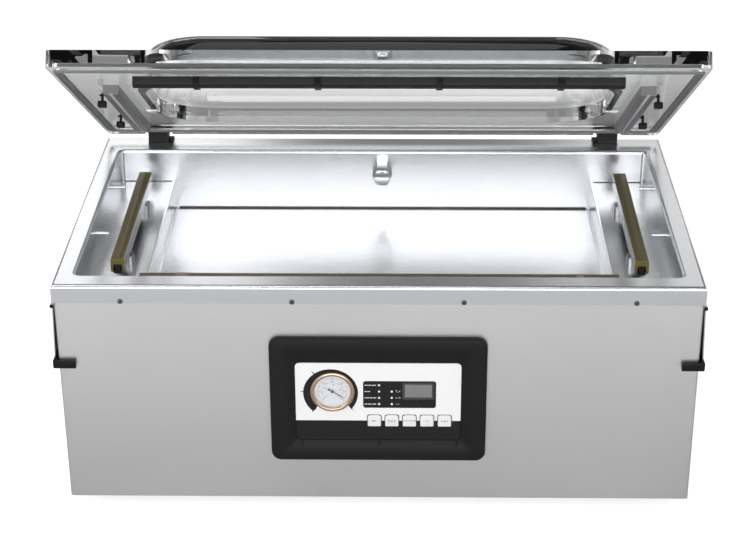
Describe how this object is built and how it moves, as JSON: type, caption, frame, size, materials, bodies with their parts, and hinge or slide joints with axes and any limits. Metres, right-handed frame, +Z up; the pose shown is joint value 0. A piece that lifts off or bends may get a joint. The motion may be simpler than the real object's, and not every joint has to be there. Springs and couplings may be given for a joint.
{
  "type": "vacuum sealer",
  "caption": "Counter-top chamber vacuum sealer: stepped steel chamber, hinged clear domed lid, sealing bars on lift pistons, gauge and key panel, drop handles.",
  "frame": {"origin": "on the table plane, under the middle of the model's box; X = 0 is the middle of the deck", "axes": "+Z up, +X to the user's right, +Y towards the hinges at the back, the control panel faces -Y"},
  "size_m": [0.7076, 0.4336, 0.5224],
  "materials": {
    "deck_steel": "satin brushed stainless sheet",
    "cabinet_steel": "satin brushed stainless sheet",
    "fitting_steel": "polished stainless",
    "screw_steel": "dark screw heads",
    "foot_rubber": "matte black rubber",
    "clear_lid": "clear polished acrylic",
    "gasket_rubber": "grey silicone",
    "counter_silicone": "black silicone",
    "counter_grey": "grey silicone",
    "clip_black": "black nylon",
    "hinge_black": "black powder coat on cast metal",
    "bar_cover": "olive coated glass cloth on a rigid cover",
    "bar_core": "black anodised core",
    "panel_black": "fine textured moulding",
    "label_print": "printed front label, white over black",
    "display_glass": "grey display window in a dark frame",
    "lamp": "small clear lamps",
    "key_white": "white keys",
    "gauge_brass": "satin brass",
    "gauge_dial": "white printed dial",
    "clear_glass": "clear gauge glass",
    "needle_black": "black needle with a red tail",
    "board_green": "circuit board",
    "machine_grey": "painted castings",
    "motor_blue": "painted motor housing",
    "shaft_steel": "turned steel",
    "hose_black": "black hose",
    "aluminium": "machined aluminium",
    "handle_steel": "satin stainless",
    "inlet_black": "black moulding"
  },
  "bodies": {
    "cabinet": {"chamber_tank": "deck_steel", "cover_screws": "screw_steel", "casing": "cabinet_steel", "base_plate": "cabinet_steel", "rear_cover": "cabinet_steel", "rubber_feet": "foot_rubber", "handle_rods": "fitting_steel", "hinge_base_left": "hinge_black", "hinge_base_right": "hinge_black", "hinge_pins": "fitting_steel", "hinge_springs": "shaft_steel", "lift_cylinders": "aluminium", "vacuum_port": "fitting_steel", "gas_nozzles": "fitting_steel", "control_bezel": "panel_black", "label_plate": "label_print", "display_window": "display_glass", "indicator_leds": "lamp", "control_board": "board_green", "gauge_bezel": "gauge_brass", "gauge_case": "hinge_black", "gauge_dial": "gauge_dial", "gauge_glass": "clear_glass", "pump_body": "machine_grey", "pump_motor": "motor_blue", "transformer": "machine_grey", "valve_block": "aluminium", "vacuum_hose": "hose_black", "pump_hose": "hose_black", "power_inlet": "inlet_black"},
    "lid": {"lid_shell": "clear_lid", "lid_gasket": "gasket_rubber", "counter_bar_front": "counter_silicone", "counter_bar_left": "counter_grey", "counter_bar_right": "counter_grey", "bar_clips": "clip_black", "bag_press_knobs": "clip_black", "hinge_leaf_left": "handle_steel", "hinge_leaf_right": "handle_steel"},
    "seal_left": {"seal_cover_left": "bar_cover", "seal_bar_left": "bar_core", "lift_pistons_left": "fitting_steel"},
    "seal_right": {"seal_cover_right": "bar_cover", "seal_bar_right": "bar_core", "lift_pistons_right": "fitting_steel"},
    "seal_front": {"seal_cover_front": "bar_cover", "seal_bar_front": "bar_core", "lift_pistons_front": "fitting_steel"},
    "handle_left": {"handle_frame_left": "handle_steel", "handle_grip_left": "clip_black"},
    "handle_right": {"handle_frame_right": "handle_steel", "handle_grip_right": "clip_black"},
    "needle": {"gauge_needle": "needle_black"},
    "rocker": {"power_rocker": "inlet_black"},
    "pump_rotor": {"motor_fan": "shaft_steel"},
    "key_1": {"key_1": "key_white"},
    "key_2": {"key_2": "key_white"},
    "key_3": {"key_3": "key_white"},
    "key_4": {"key_4": "key_white"},
    "key_5": {"key_5": "key_white"}
  },
  "joints": [
    {"name": "lid_hinge", "type": "hinge", "parent": "cabinet", "child": "lid", "pos_m": [0, 0.212, 0.295], "axis": [1, 0, 0], "range_deg": [0, 31.57]},
    {"name": "seal_lift_left", "type": "slide", "parent": "cabinet", "child": "seal_left", "axis": [0, 0, 1], "range_m": [0, 0.005]},
    {"name": "seal_lift_right", "type": "slide", "parent": "cabinet", "child": "seal_right", "axis": [0, 0, 1], "range_m": [0, 0.005]},
    {"name": "seal_lift_front", "type": "slide", "parent": "cabinet", "child": "seal_front", "axis": [0, 0, 1], "range_m": [0, 0.005]},
    {"name": "handle_swing_left", "type": "hinge", "parent": "cabinet", "child": "handle_left", "pos_m": [-0.3502, 0, 0.2538], "axis": [0, 1, 0], "range_deg": [0, 80]},
    {"name": "handle_swing_right", "type": "hinge", "parent": "cabinet", "child": "handle_right", "pos_m": [0.3502, 0, 0.2538], "axis": [0, -1, 0], "range_deg": [0, 80]},
    {"name": "key_1_press", "type": "slide", "parent": "cabinet", "child": "key_1", "axis": [0, 1, 0], "range_m": [0, 0.0008], "stiffness_N_per_m": 1500, "springref_m": -0.0004},
    {"name": "key_2_press", "type": "slide", "parent": "cabinet", "child": "key_2", "axis": [0, 1, 0], "range_m": [0, 0.0008], "stiffness_N_per_m": 1500, "springref_m": -0.0004},
    {"name": "key_3_press", "type": "slide", "parent": "cabinet", "child": "key_3", "axis": [0, 1, 0], "range_m": [0, 0.0008], "stiffness_N_per_m": 1500, "springref_m": -0.0004},
    {"name": "key_4_press", "type": "slide", "parent": "cabinet", "child": "key_4", "axis": [0, 1, 0], "range_m": [0, 0.0008], "stiffness_N_per_m": 1500, "springref_m": -0.0004},
    {"name": "key_5_press", "type": "slide", "parent": "cabinet", "child": "key_5", "axis": [0, 1, 0], "range_m": [0, 0.0008], "stiffness_N_per_m": 1500, "springref_m": -0.0004},
    {"name": "needle_turn", "type": "hinge", "parent": "cabinet", "child": "needle", "pos_m": [-0.05, -0.2118, 0.1519], "axis": [0, -1, 0], "range_deg": [0, 250]},
    {"name": "rocker_tilt", "type": "hinge", "parent": "cabinet", "child": "rocker", "pos_m": [0.26, 0.206, 0.095], "axis": [-1, 0, 0], "range_deg": [0, 16]},
    {"name": "rotor_spin", "type": "hinge", "parent": "cabinet", "child": "pump_rotor", "pos_m": [0, 0.01, 0.104], "axis": [1, 0, 0], "continuous": true}
  ],
  "couplings": [
    {"joint": "seal_lift_right", "follows": "seal_lift_left", "ratio": 1},
    {"joint": "seal_lift_front", "follows": "seal_lift_left", "ratio": 1}
  ]
}
